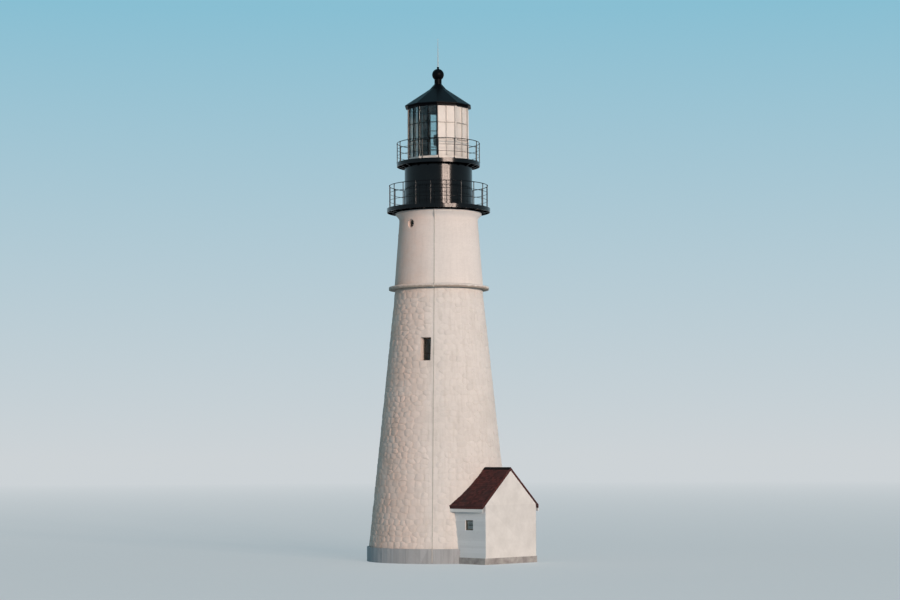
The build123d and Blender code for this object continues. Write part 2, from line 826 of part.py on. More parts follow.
# Entry wing: slab, floor, side walls, party wall and roof, scribed to the tower
half_wing = wing_width / 2
wing_inner_half = half_wing - wing_wall_thickness
pitch_run = half_wing + wing_overhang
pitch_rise = wing_ridge_height - wing_eave_height
slope_per_run = pitch_rise / pitch_run
slope_drop = wing_roof_thickness * sqrt(1 + slope_per_run**2)  # roof's upright thickness


def roof_underside(offset):
    """Height of the roof's underside at a distance from the ridge line."""
    return wing_ridge_height - slope_drop - slope_per_run * abs(offset)


tower_shape = flat_sided((
    (0, plinth_radius + seat_gap),
    (plinth_height + seat_gap, plinth_radius + seat_gap),
    (plinth_height + seat_gap, stone_radius(plinth_height) + seat_gap),
    (stone_top, stone_top_radius + seat_gap),
))

with BuildPart() as wing_foundation:
    with BuildSketch(Plane.XY):
        with Locations((wing_end / 2, 0)):
            Rectangle(wing_end, wing_width + 2 * wing_slab_margin)
    extrude(amount=wing_slab_height)
    add(tower_shape, mode=Mode.SUBTRACT)
wing_foundation.part.label = "wing_foundation"
export_step(wing_foundation.part, "parts/wing_foundation.step")

floor_end = wing_end - party_wall_thickness - seat_gap
with BuildPart() as wing_floor:
    with BuildSketch(Plane.XY.offset(wing_slab_height)):
        with Locations((floor_end / 2, 0)):
            Rectangle(floor_end, 2 * (wing_inner_half - seat_gap))
    extrude(amount=floor_top - wing_slab_height)
    add(tower_shape, mode=Mode.SUBTRACT)
wing_floor.part.label = "wing_floor"
export_step(wing_floor.part, "parts/wing_floor.step")

window_centre = wing_window_sill + wing_window_height / 2
wall_length = wing_end - party_wall_thickness
for name, side in (("near", -1), ("far", 1)):
    outer = side * half_wing
    inner = side * wing_inner_half
    with BuildPart() as wing_side_wall:
        with BuildSketch(Plane.YZ):
            with BuildLine():
                Polyline(
                    (outer, wing_slab_height),
                    (inner, wing_slab_height),
                    (inner, roof_underside(inner)),
                    (outer, roof_underside(outer)),
                    close=True,
                )
            make_face()
        extrude(amount=wall_length)
        add(tower_shape, mode=Mode.SUBTRACT)
        with BuildSketch(Plane.XZ):
            with Locations((wing_window_x, window_centre)):
                Rectangle(wing_window_width, wing_window_height)
        extrude(amount=-side * wing_width, mode=Mode.SUBTRACT)
    wing_side_wall.part.label = f"wing_{name}_wall"
    export_step(wing_side_wall.part, f"parts/wing_{name}_wall.step")

with BuildPart() as wing_party_wall:
    with BuildSketch(Plane.YZ.offset(wall_length)):
        with BuildLine():
            Polyline(
                (-half_wing, wing_slab_height),
                (half_wing, wing_slab_height),
                (half_wing, roof_underside(half_wing)),
                (0, roof_underside(0)),
                (-half_wing, roof_underside(half_wing)),
                close=True,
            )
        make_face()
    extrude(amount=party_wall_thickness)
wing_party_wall.part.label = "wing_party_wall"
export_step(wing_party_wall.part, "parts/wing_party_wall.step")

for name, side in (("near", -1), ("far", 1)):
    with BuildPart() as wing_roof_slope:
        with BuildSketch(Plane.YZ):
            with BuildLine():
                Polyline(
                    (side * seat_gap, roof_underside(seat_gap)),
                    (side * pitch_run, roof_underside(pitch_run)),
                    (side * pitch_run, roof_underside(pitch_run) + slope_drop),
                    (side * seat_gap, roof_underside(seat_gap) + slope_drop),
                    close=True,
                )
            make_face()
        extrude(amount=wing_end)
        add(tower_shape, mode=Mode.SUBTRACT)
    wing_roof_slope.part.label = f"wing_roof_{name}"
    export_step(wing_roof_slope.part, f"parts/wing_roof_{name}.step")

with BuildPart() as wing_ridge_cap:
    cap_drop = slope_per_run * ridge_cap_width
    with BuildSketch(Plane.YZ):
        with BuildLine():
            Polyline(
                (0, wing_ridge_height + seat_gap),
                (ridge_cap_width, wing_ridge_height + seat_gap - cap_drop),
                (ridge_cap_width, wing_ridge_height + ridge_cap_thickness - cap_drop),
                (0, wing_ridge_height + ridge_cap_thickness),
                (-ridge_cap_width, wing_ridge_height + ridge_cap_thickness - cap_drop),
                (-ridge_cap_width, wing_ridge_height + seat_gap - cap_drop),
                close=True,
            )
        make_face()
    extrude(amount=wing_end)
    add(tower_shape, mode=Mode.SUBTRACT)
wing_ridge_cap.part.label = "wing_ridge_cap"
export_step(wing_ridge_cap.part, "parts/wing_ridge_cap.step")

with BuildPart() as wing_fascias:
    board_middle = roof_underside(pitch_run) - fascia_height / 2
    with BuildSketch(Plane.YZ):
        for side in (-1, 1):
            with Locations((side * (pitch_run - fascia_thickness / 2), board_middle)):
                Rectangle(fascia_thickness, fascia_height)
    extrude(amount=wing_end)
    add(tower_shape, mode=Mode.SUBTRACT)
wing_fascias.part.label = "wing_fascias"
export_step(wing_fascias.part, "parts/wing_fascias.step")


def wing_window_plane(side, depth):
    """The upright plane of a wing window, facing out of its wall, at a depth behind the face."""
    origin = (wing_window_x, side * (half_wing - depth), window_centre)
    return Plane(origin=origin, x_dir=(-side, 0, 0), z_dir=(0, side, 0))


wing_fit_width = wing_window_width - 2 * seat_gap
wing_fit_height = wing_window_height - 2 * seat_gap
frame_back_depth = wing_window_setback + wing_frame_depth
pane_back_depth = frame_back_depth - (wing_frame_depth - glass_thickness) / 2
with BuildPart() as wing_window_frames:
    for side in (-1, 1):
        add(square_frame(wing_window_plane(side, frame_back_depth), wing_fit_width, wing_fit_height,
                         frame_bar, wing_frame_depth))
wing_window_frames.part.label = "wing_window_frames"
export_step(wing_window_frames.part, "parts/wing_window_frames.step")

with BuildPart() as wing_window_glass:
    for side in (-1, 1):
        add(sheet(wing_window_plane(side, pane_back_depth), wing_fit_width - pane_inset,
                  wing_fit_height - pane_inset, glass_thickness))
wing_window_glass.part.label = "wing_window_glass"
export_step(wing_window_glass.part, "parts/wing_window_glass.step")
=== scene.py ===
import json
import math

import bmesh
import bpy
import numpy as np
from mathutils import Matrix, Vector


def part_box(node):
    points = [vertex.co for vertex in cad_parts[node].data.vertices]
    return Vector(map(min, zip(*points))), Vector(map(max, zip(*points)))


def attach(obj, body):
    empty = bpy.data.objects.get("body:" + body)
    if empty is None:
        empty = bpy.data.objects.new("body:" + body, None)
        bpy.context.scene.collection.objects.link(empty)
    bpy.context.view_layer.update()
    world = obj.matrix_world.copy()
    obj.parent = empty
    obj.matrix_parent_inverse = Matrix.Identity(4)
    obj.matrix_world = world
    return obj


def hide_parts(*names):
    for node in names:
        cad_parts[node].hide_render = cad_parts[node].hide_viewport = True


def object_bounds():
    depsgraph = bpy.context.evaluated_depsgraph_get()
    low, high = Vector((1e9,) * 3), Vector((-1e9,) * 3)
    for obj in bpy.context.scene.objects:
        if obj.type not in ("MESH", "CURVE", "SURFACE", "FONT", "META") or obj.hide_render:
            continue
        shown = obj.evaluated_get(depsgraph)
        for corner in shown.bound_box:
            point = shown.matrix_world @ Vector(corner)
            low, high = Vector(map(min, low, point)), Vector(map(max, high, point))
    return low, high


# The looks of a white conical lighthouse with two black iron galleries and a small entry wing.
# Lengths are metres: the tower's axis is z and the wing runs out along +x. Named angles are
# degrees, from +x towards +y.

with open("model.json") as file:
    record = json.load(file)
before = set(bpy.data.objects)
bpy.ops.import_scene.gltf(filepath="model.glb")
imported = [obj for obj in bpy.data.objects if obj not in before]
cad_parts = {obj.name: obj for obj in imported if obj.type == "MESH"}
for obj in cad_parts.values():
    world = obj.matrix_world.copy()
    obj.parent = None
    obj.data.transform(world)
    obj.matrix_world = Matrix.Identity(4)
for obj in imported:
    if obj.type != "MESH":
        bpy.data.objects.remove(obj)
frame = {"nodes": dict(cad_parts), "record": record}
packed_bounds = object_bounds()
scene = bpy.context.scene
random = np.random.default_rng(1857)

# Steps and sides of the round forms
wall_steps = 180
flare_steps = 12
rail_steps = 120
rail_sides = 8
post_sides = 12
finial_bands = 8
finial_steps = 14
ball_bands = 24
ball_steps = 64
rod_steps = 16
beacon_steps = 40
floor_steps = 96
pole_share = 0.001  # of a small ball's radius, at its poles
upright_share = 0.9  # a bar that rises more than this counts as upright

# How near a corner has to be to count as at a height or a radius
level_tolerance = 0.0015
edge_tolerance = 0.002
girth_tolerance = 0.004

# Rubble stones of the cone
stone_course = 0.27
stone_width = 0.42
stone_joint = 0.022
stone_relief = (0.008, 0.024)
stone_bury = 0.03
stone_tilt = 0.035
first_course = 0.45  # of a course above the cone's foot
course_spread = (0.8, 1.2)
width_spread = (0.85, 1.15)
seed_jitter = 0.27
stone_squash = 0.72  # makes the stones wider than high
cell_reach = 0.6
cell_neighbours = 14
window_reach = 0.7
window_span = 1.0  # radians to each side of the window
opening_gap = 0.004
smallest_stone = 0.006  # square metres
corner_cut = 0.22
edge_relief = 0.35
face_share = 0.80
crown_relief = 1.25
flat_relief = 0.004  # of the stones under the conductor
strip_clearance = 0.04

# Where the wing hides the stones
hidden_inset = 0.25
hidden_drop = 0.3
hidden_slope = 0.9

# Bricks of the upper section
brick_course = 0.075
brick_length = 0.215
brick_joint = 0.010
brick_proud = 0.002
brick_give = 0.0006
brick_bury = 0.012
surround_bricks = 22
surround_start = 0.002
surround_width = 0.11
surround_lift = 0.001
surround_cover = 0.9
surround_gap = 0.04

# Belt course, mouldings and cornice
belt_count = 20
belt_joint = 0.008
belt_give = 0.004
belt_lower_edge = 0.006
belt_upper_edge = 0.012
band_height = 0.06
band_proud = 0.016
band_drop = 0.72  # from the top of the bricks
fillet_height = 0.03
fillet_proud = 0.012
cornice_edge = 0.01

# Iron work
iron_edge = 0.004
main_bays = 20
upper_bays = 16
post_radius = 0.021
post_foot_spread = 1.9
post_foot_height = 0.03
finial_radius = 0.034
rail_radius = 0.019
mid_rail_radius = 0.012
rod_socket = 0.12
rod_tip = 0.03
rod_point = 0.3  # of the rod's thin radius

# Dark lines on the lantern's white sides, painted shade along the bars and posts that also stands for
# putty, counted from its first corner
lantern_sides = 10
blank_sides = (0, 1, 2, 3, 4, 6)
tiers = 3
bar_cover = 0.034
post_cover = 0.057
shade_line_width = 0.010
shade_line_depth = 0.004

# Boards and shingles of the wing
board_exposure = 0.115
board_lap = 0.012
board_butt = 0.016
board_top = 0.003
board_back = 0.002
board_bury = 0.01
board_least = 0.02
eave_gap = 0.002
window_margin = 0.055
shingle_exposure = 0.135
shingle_lap = 1.5  # courses that a shingle covers
shingle_width = (0.10, 0.19)
shingle_least = 0.03
shingle_gap = 0.004
shingle_butt = 0.014
butt_spread = (0.75, 1.1)
shingle_head = 0.002
shingle_slip = 0.006
shingle_bury = 0.02
row_shift = 0.08
ridge_gap = 0.02
verge_gap = 0.01

# Glazing bars of the windows
bar_depth = 0.035
bar_width = 0.03
bar_ends = 0.06
bar_inset = 0.04
wing_bar_depth = 0.04
wing_bar_inset = 0.02
wing_bar_bury = 0.01

# Weathering, and painted shade on the side away from the key light
shaded_weather_side = -135.0
shade_and_weather_tint = (1.0, 0.78, 0.68)
noise_range = (0.3, 0.7)  # where most of a noise lies

# Setting: floor, light and camera
floor_radius = 420.0
floor_colour = (0.78, 0.79, 0.79)
floor_glow = (0.66, 0.70, 0.72)
floor_glow_share = 0.5
fade_start = 20.0
fade_end = 0.75  # of the floor's radius
backdrop_foot = (0.61, 0.65, 0.675)
backdrop_top = (0.25, 0.52, 0.65)
backdrop_height = 12.0  # degrees above eye level, where its top colour begins
ambient = (0.42, 0.80, 1.0)
ambient_strength = 0.31
key_colour = (1.0, 0.78, 0.66)
key_strength = 2.5
key_turn = 26.0  # to the right of the camera
key_elevation = 9.0
lamp_angle = 8.0
lamp_turns = (-9.0, 0.0, 9.0)
camera_distance = 105.0
camera_height = 5.1
camera_azimuth = -45.0
camera_roll = -0.25
camera_reach = 1500.0
lens = 85.0
aim_right = 0.55
aim_drop = 0.15

# Faces of a shape with four corners at each end
slab_faces = [(0, 1, 2, 3), (4, 5, 6, 7), (0, 1, 5, 4), (1, 2, 6, 5), (2, 3, 7, 6), (3, 0, 4, 7)]


# Reading the frame

def node_points(node):
    """All corners of a rigid part."""
    mesh = frame["nodes"][node].data
    flat = np.zeros(len(mesh.vertices) * 3, np.float32)
    mesh.vertices.foreach_get("co", flat)
    return flat.reshape(-1, 3).astype(float)


def radii_of(points):
    """Distances from the tower's axis."""
    return np.hypot(points[:, 0], points[:, 1])


def radii_at(node, height):
    """Smallest and largest radius of a rigid part's corners at a height."""
    points = node_points(node)
    radii = radii_of(points[np.abs(points[:, 2] - height) < level_tolerance])
    return float(radii.min()), float(radii.max())


def widest(node, tolerance=edge_tolerance):
    """The largest radius of a rigid part, and the heights of its corners there."""
    points = node_points(node)
    radii = radii_of(points)
    return float(radii.max()), points[radii > radii.max() - tolerance, 2]


def levels(node):
    """Lowest and highest height of a rigid part."""
    low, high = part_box(node)
    return low.z, high.z


def ends(node):
    """Lowest and highest height of a rigid part, and its outer radius at each."""
    low, high = levels(node)
    return low, high, radii_at(node, low)[1], radii_at(node, high)[1]


def side_of(points):
    """The side of the tower on which points lie, in radians."""
    middle = points.mean(axis=0)
    return math.atan2(middle[1], middle[0])


def apart(angle, other):
    """The turn from one angle to another in radians, at most half a round either way."""
    return (angle - other + math.pi) % math.tau - math.pi


# Mesh building

def linked(name, data):
    """A new object in the scene."""
    obj = bpy.data.objects.new(name, data)
    scene.collection.objects.link(obj)
    return obj


class Pile:
    """Points and faces that become one joined mesh."""

    def __init__(self, *shapes):
        self.points = []
        self.faces = []
        for shape in shapes:
            self.add(shape)

    def add(self, shape):
        points, faces = shape
        first = len(self.points)
        self.points.extend(tuple(point) for point in points)
        self.faces.extend(tuple(first + i for i in face) for face in faces)

    def piece(self, name, slot, smooth=None, nodes=()):
        """Makes the mesh a piece that stands for its nodes, shaded round up to an angle."""
        mesh = bpy.data.meshes.new(name)
        mesh.from_pydata(self.points, [], self.faces)
        cleaned = bmesh.new()
        cleaned.from_mesh(mesh)
        bmesh.ops.recalc_face_normals(cleaned, faces=cleaned.faces)
        cleaned.to_mesh(mesh)
        cleaned.free()
        if smooth is not None:
            mesh.shade_smooth()
            mesh.set_sharp_from_angle(angle=math.radians(smooth))
        mesh.materials.append(materials[slot])
        obj = linked(name, mesh)
        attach(obj, "root")
        if nodes:
            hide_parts(*nodes)


def round_point(radius, angle, height):
    """The point at a radius, an angle in radians and a height."""
    return radius * math.cos(angle), radius * math.sin(angle), height


def ring(radius, height, steps):
    """A level ring of points about the tower's axis."""
    return [round_point(radius, math.tau * k / steps, height) for k in range(steps)]


def bands(count, size, closed=False):
    """Faces between rings of points that follow each other."""
    faces = []
    for row in range(count if closed else count - 1):
        here, there = row * size, (row + 1) % count * size
        for i in range(size):
            j = (i + 1) % size
            faces.append((here + i, here + j, there + j, there + i))
    return faces


def lathe(profile, start=0.0, sweep=360.0):
    """A closed profile of radius and height pairs turned about the tower's axis."""
    whole = sweep >= 360
    steps = max(2, round(wall_steps * sweep / 360))
    rings = steps if whole else steps + 1
    size = len(profile)
    points, faces = [], []
    for row in range(rings):
        angle = math.radians(start + sweep * row / steps)
        points += [round_point(radius, angle, z) for radius, z in profile]
    for row in range(steps):
        here, there = row * size, (row + 1) % rings * size
        for i in range(size):
            j = (i + 1) % size
            faces.append((here + i, there + i, there + j, here + j))
    if not whole:
        faces.append(tuple(range(size)))
        faces.append(tuple(range((rings - 1) * size, rings * size)))
    return points, faces


def solid_lathe(profile, steps):
    """A turned body from a line of radius and height pairs, closed at both ends."""
    points, faces = [(0, 0, profile[0][1])], []
    rings = len(profile)
    for radius, z in profile:
        points += ring(radius, z, steps)
    points.append((0, 0, profile[-1][1]))
    top = 1 + (rings - 1) * steps
    for k in range(steps):
        m = (k + 1) % steps
        faces.append((0, 1 + m, 1 + k))
        for row in range(rings - 1):
            low, high = 1 + row * steps, 1 + (row + 1) * steps
            faces.append((low + k, low + m, high + m, high + k))
        faces.append((top + k, top + m, len(points) - 1))
    return points, faces


def placed(shape, matrix):
    """A shape moved by a matrix."""
    points, faces = shape
    return [tuple(matrix @ Vector(point)) for point in points], faces


def block(size):
    """A box with its middle at the origin."""
    x, y, z = (s / 2 for s in size)
    points = [(sx * x, sy * y, sz * z) for sz in (-1, 1) for sy in (-1, 1) for sx in (-1, 1)]
    faces = [(0, 2, 3, 1), (4, 5, 7, 6), (0, 1, 5, 4), (2, 6, 7, 3), (0, 4, 6, 2), (1, 3, 7, 5)]
    return points, faces


def tube(line, radius, sides, closed=False):
    """A round bar that follows a line of points."""
    line = [Vector(point) for point in line]
    count = len(line)
    points = []
    for i, point in enumerate(line):
        before = line[i - 1] if (i or closed) else point
        after = line[(i + 1) % count] if (i < count - 1 or closed) else point
        along = (after - before).normalized()
        upright = abs(along.z) > upright_share
        side = along.orthogonal() if upright else along.cross(Vector((0, 0, 1)))
        side.normalize()
        up = side.cross(along).normalized()
        for k in range(sides):
            turn = math.tau * k / sides
            points.append(tuple(point + (side * math.cos(turn) + up * math.sin(turn)) * radius))
    faces = bands(count, sides, closed)
    if not closed:
        faces.append(tuple(range(sides)))
        faces.append(tuple(range((count - 1) * sides, count * sides)))
    return points, faces


def ball(centre, radius):
    """A small sphere."""
    line = [(pole_share * radius, -radius)]
    for i in range(finial_bands):
        turn = math.pi * (i + 1) / (finial_bands + 1)
        line.append((radius * math.sin(turn), -radius * math.cos(turn)))
    line.append((pole_share * radius, radius))
    return placed(solid_lathe(line, finial_steps), Matrix.Translation(centre))


def outward(angle, radius, height):
    """The frame of a spot on the tower: x points out, y runs along the wall and z is up."""
    turn = Matrix.Rotation(math.radians(angle), 4, "Z")
    return turn @ Matrix.Translation((radius, 0, height))


# Materials

materials = {}  # by the names of their slots


class Nodes:
    """Helpers that add shader nodes to a material or to the world."""

    def __init__(self, owner):
        owner.use_nodes = True
        self.tree = owner.node_tree

    def set(self, socket, value):
        """Links a socket to another, or gives it a plain value or colour."""
        if isinstance(value, bpy.types.NodeSocket):
            self.tree.links.new(value, socket)
        elif socket.type == "RGBA":
            socket.default_value = (*value, 1.0)
        else:
            socket.default_value = value

    def add(self, kind, sockets=None, **settings):
        """A new node with its settings, and with some of its sockets set."""
        node = self.tree.nodes.new(kind)
        for key, value in settings.items():
            setattr(node, key, value)
        for key, value in (sockets or {}).items():
            self.set(node.inputs[key], value)
        return node

    def maths(self, operation, a, b, **settings):
        return self.add("ShaderNodeMath", {0: a, 1: b}, operation=operation, **settings).outputs[0]

    def between(self, value, low, high, to_low=0.0, to_high=1.0):
        """A value spread from one range to another and held inside it."""
        sockets = {"Value": value, "From Min": low, "From Max": high, "To Min": to_low, "To Max": to_high}
        return self.add("ShaderNodeMapRange", sockets).outputs["Result"]

    def mix(self, share, a, b, blend="MIX"):
        sockets = {0: share, 6: a, 7: b}
        return self.add("ShaderNodeMix", sockets, data_type="RGBA", blend_type=blend).outputs[2]

    def upward(self, direction):
        """The z part of a direction or a place."""
        return self.add("ShaderNodeSeparateXYZ", {0: direction}).outputs["Z"]

    def layer(self, share, under, over):
        """Two shaders of which the second covers a share of the first."""
        return self.add("ShaderNodeMixShader", {0: share, 1: under, 2: over}).outputs[0]

    def seen(self):
        """1 where a surface is seen, also in metal or through glass, and 0 where it only lights."""
        path = self.add("ShaderNodeLightPath")
        share = path.outputs["Is Camera Ray"]
        for ray in ("Is Glossy Ray", "Is Transmission Ray"):
            share = self.maths("ADD", share, path.outputs[ray], use_clamp=True)
        return share

    def show(self, shader, output="Material Output"):
        self.set(self.tree.nodes[output].inputs["Surface"], shader)


class Surface(Nodes):
    """A material whose pattern keeps its place on the object."""

    def __init__(self, name):
        self.material = bpy.data.materials.new(name)
        materials[name] = self.material
        super().__init__(self.material)
        self.shader = self.tree.nodes["Principled BSDF"]
        self.place = self.add("ShaderNodeTexCoord").outputs["Object"]

    def stretched(self, x, y, z):
        """The place with its directions scaled, for streaks and grain."""
        return self.add("ShaderNodeMapping", {"Vector": self.place, "Scale": (x, y, z)}).outputs["Vector"]

    def noise(self, scale, detail=4.0, rough=0.55, place=None):
        sockets = {"Vector": place or self.place, "Scale": scale, "Detail": detail, "Roughness": rough}
        return self.add("ShaderNodeTexNoise", sockets).outputs["Fac"]

    def spread(self, noise, low, high):
        """A noise spread from its usual range to another one."""
        return self.between(noise, *noise_range, low, high)

    def scaled(self, colour, factor):
        """A colour made darker or lighter by a value."""
        sockets = {0: colour, "Scale": factor}
        return self.add("ShaderNodeVectorMath", sockets, operation="SCALE").outputs[0]

    def each(self):
        """A random value for each loose piece of the mesh."""
        return self.add("ShaderNodeNewGeometry").outputs["Random Per Island"]

    def tone(self, low, high):
        """A random brightness for each loose piece of the mesh."""
        return self.between(self.each(), 0, 1, low, high)

    def share_towards(self, angle):
        """How far a spot lies to one side of the tower: 1 on that side, 0 square to it."""
        away = self.add("ShaderNodeVectorMath", {0: self.stretched(1.0, 1.0, 0.0)}, operation="NORMALIZE")
        sockets = {0: away.outputs["Vector"], 1: round_point(1.0, math.radians(angle), 0.0)}
        return self.add("ShaderNodeVectorMath", sockets, operation="DOT_PRODUCT").outputs["Value"]

    def bump(self, height, strength, distance):
        sockets = {"Strength": strength, "Distance": distance, "Height": height}
        self.set(self.shader.inputs["Normal"], self.add("ShaderNodeBump", sockets).outputs["Normal"])

    def finish(self, colour, roughness, specular=0.5, metallic=0.0):
        for name, value in (("Base Color", colour), ("Roughness", roughness),
                            ("Specular IOR Level", specular), ("Metallic", metallic)):
            self.set(self.shader.inputs[name], value)


def masonry_surface(name, paint, stain, streaks, relief, relief_scale, piece_share=0.05,
                    side_shade_tint=shade_and_weather_tint):
    """Matt paint over masonry with rain streaks and grime, browner and darker on the side away from the
    key light as painted shade and weathering.
    """
    s = Surface(name)
    runs = s.noise(1.0, detail=5, rough=0.6, place=s.stretched(7.0, 7.0, 0.45))
    patches = s.noise(0.35, detail=3, rough=0.6)
    fine = s.noise(9.0, detail=6, rough=0.65)
    colour = s.mix(s.between(runs, 0.48, 0.74, 0.0, streaks), paint, stain)
    colour = s.mix(s.between(patches, 0.45, 0.75, 0.0, 0.22), colour, stain)
    # Painted shade, partly weathering: masonry turned to this side is tinted browner and darker in
    # patches
    shaded_side_share = s.between(s.share_towards(shaded_weather_side), 0.1, 0.85)
    worn = s.between(s.noise(1.3, detail=5, rough=0.65), 0.35, 0.65, 0.65, 1.0)
    shade_tinted = s.mix(1.0, colour, side_shade_tint, "MULTIPLY")
    colour = s.mix(s.maths("MULTIPLY", shaded_side_share, worn), colour, shade_tinted)
    shade = s.maths("ADD", s.tone(1 - piece_share, 1 + piece_share / 3), s.spread(fine, -0.035, 0.02))
    s.weathered = s.scaled(colour, shade)
    s.bump(s.noise(relief_scale, detail=7, rough=0.62), strength=relief, distance=0.012)
    s.shader.inputs["Diffuse Roughness"].default_value = 0.3
    s.finish(s.weathered, s.spread(fine, 0.72, 0.88), specular=0.25)
    return s


def belt_paint():
    """The belt's stones, a darker brown along the lower part of their face, with a ragged edge."""
    s = masonry_surface("belt_stone", paint=(0.78, 0.74, 0.70), stain=(0.52, 0.47, 0.42),
                        streaks=0.3, relief=0.5, relief_scale=18.0, piece_share=0.08)
    low, high = levels("belt_course")
    ragged = s.maths("ADD", s.upward(s.place), s.spread(s.noise(3.5), -0.03, 0.03))
    share = s.between(ragged, low + 0.28 * (high - low), low + 0.50 * (high - low), 1.0, 0.0)
    lower_part_brown = (0.38, 0.32, 0.27)
    s.set(s.shader.inputs["Base Color"], s.mix(share, s.weathered, lower_part_brown))


def plain_stone(name, light, dark, scale):
    """Unpainted stone or render with mottled tone."""
    s = Surface(name)
    mottle = s.between(s.noise(scale, detail=6, rough=0.65), 0.35, 0.65)
    colour = s.scaled(s.mix(mottle, dark, light), s.tone(0.88, 1.06))
    s.bump(s.noise(scale * 5, detail=6, rough=0.6), strength=0.5, distance=0.01)
    s.finish(colour, s.spread(s.noise(scale * 2), 0.75, 0.92), specular=0.3)


def black_iron():
    """Gloss black paint with a slight orange peel, dust and rust, duller on decks and roof."""
    s = Surface("iron_black")
    clean, dusty, rusty = (0.002, 0.002, 0.003), (0.006, 0.006, 0.007), (0.085, 0.034, 0.016)
    dust = s.noise(1.6, detail=5, rough=0.6)
    rust = s.noise(1.0, detail=6, rough=0.7, place=s.stretched(9.0, 9.0, 1.6))
    colour = s.mix(s.between(dust, 0.45, 0.75, 0.0, 0.35), clean, dusty)
    colour = s.mix(s.between(rust, 0.66, 0.80, 0.0, 0.55), colour, rusty)
    s.bump(s.noise(38.0, detail=3, rough=0.5), strength=0.05, distance=0.002)
    roof_foot = levels("lantern_head_ring")[0]
    facing = s.add("ShaderNodeNewGeometry").outputs["Normal"]
    dull = s.maths("MAXIMUM", s.between(s.upward(facing), 0.1, 0.5),
                   s.between(s.upward(s.place), roof_foot - 0.02, roof_foot))
    roughness = s.maths("ADD", s.between(dust, 0.35, 0.7, 0.14, 0.19), s.between(dull, 0, 1, 0.0, 0.25))
    s.finish(colour, roughness, specular=s.between(dull, 0, 1, 0.22, 0.05))


def white_iron():
    """Satin white paint over sheet iron, with thin rust runs."""
    s = Surface("iron_white")
    clean, chalky, rusty = (0.79, 0.74, 0.69), (0.62, 0.57, 0.52), (0.36, 0.22, 0.13)
    runs = s.noise(1.0, detail=6, rough=0.65, place=s.stretched(16.0, 16.0, 1.2))
    cloud = s.noise(2.2, detail=4, rough=0.6)
    colour = s.mix(s.between(cloud, 0.4, 0.75, 0.0, 0.35), clean, chalky)
    colour = s.mix(s.between(runs, 0.62, 0.78, 0.0, 0.5), colour, rusty)
    s.bump(s.noise(30.0, detail=3, rough=0.5), strength=0.12, distance=0.004)
    s.finish(colour, s.spread(cloud, 0.40, 0.58), specular=0.4)


def bare_metal():
    """Dull grey metal of the conductor and the rod."""
    s = Surface("bare_conductor")
    dark, light = (0.46, 0.43, 0.39), (0.60, 0.565, 0.52)
    cloud = s.noise(5.0, detail=5, rough=0.6)
    s.bump(s.noise(60.0), strength=0.15, distance=0.003)
    s.finish(s.mix(s.between(cloud, 0.35, 0.7), dark, light), s.spread(cloud, 0.5, 0.7),
             specular=0.4, metallic=0.35)


def glass():
    """Clear panes: the view goes straight through, with a soft sheen and a film of salt."""
    s = Surface("window_glass")
    salt = s.noise(4.0, detail=5, rough=0.65)
    s.bump(s.noise(1.2, detail=2, rough=0.5), strength=0.02, distance=0.001)
    s.finish((0.62, 0.68, 0.69), s.spread(salt, 0.25, 0.4), specular=0.2)
    clear = s.add("ShaderNodeBsdfTransparent", {"Color": (0.86, 0.90, 0.90)}).outputs[0]
    gloss = s.add("ShaderNodeBsdfGlossy", {"Color": (0.9, 0.93, 0.94),
                                           "Roughness": s.spread(salt, 0.03, 0.10)}).outputs[0]
    slant = s.add("ShaderNodeLayerWeight", {"Blend": 0.30}).outputs["Fresnel"]
    sheen = s.layer(s.between(slant, 0.0, 1.0, 0.01, 0.45), clear, gloss)
    s.show(s.layer(s.between(salt, 0.40, 0.8, 0.0, 0.08), sheen, s.shader.outputs[0]))


def painted_wood(name, paint, worn, wear, roughness=0.55):
    """Painted boards with grain under the paint, a tone for each board and worn spots."""
    s = Surface(name)
    grain = s.noise(1.0, detail=6, rough=0.6, place=s.stretched(3.0, 30.0, 60.0))
    spots = s.noise(6.0, detail=6, rough=0.7)
    colour = s.mix(s.between(spots, 0.60, 0.74, 0.0, wear), paint, worn)
    colour = s.scaled(colour, s.maths("ADD", s.tone(0.92, 1.02), s.spread(grain, -0.03, 0.02)))
    s.bump(grain, strength=0.25, distance=0.004)
    s.finish(colour, s.spread(grain, roughness - 0.08, roughness + 0.12), specular=0.4)


def shingles():
    """Weather-worn red wood shingles, each of its own tone, their red darkened as painted shade."""
    s = Surface("shingle_red")
    # Painted shade: these reds are darker than the shingles' own colour
    dark, light, grey = (0.055, 0.019, 0.018), (0.125, 0.036, 0.032), (0.050, 0.044, 0.044)
    grain = s.noise(1.0, detail=6, rough=0.6, place=s.stretched(40.0, 6.0, 6.0))
    patches = s.noise(1.1, detail=4, rough=0.6)
    colour = s.mix(s.between(patches, 0.45, 0.75, 0.0, 0.4), s.mix(s.each(), dark, light), grey)
    s.bump(grain, strength=0.4, distance=0.006)
    s.finish(s.scaled(colour, s.spread(grain, 0.78, 1.12)), 0.85, specular=0.2)


def enamel():
    """Grey-green enamel of the beacon."""
    s = Surface("beacon_grey")
    dark, light = (0.13, 0.15, 0.14), (0.19, 0.21, 0.20)
    cloud = s.noise(6.0)
    s.bump(s.noise(50.0), strength=0.1, distance=0.003)
    s.finish(s.mix(s.between(cloud, 0.35, 0.7), dark, light), s.spread(cloud, 0.35, 0.5))


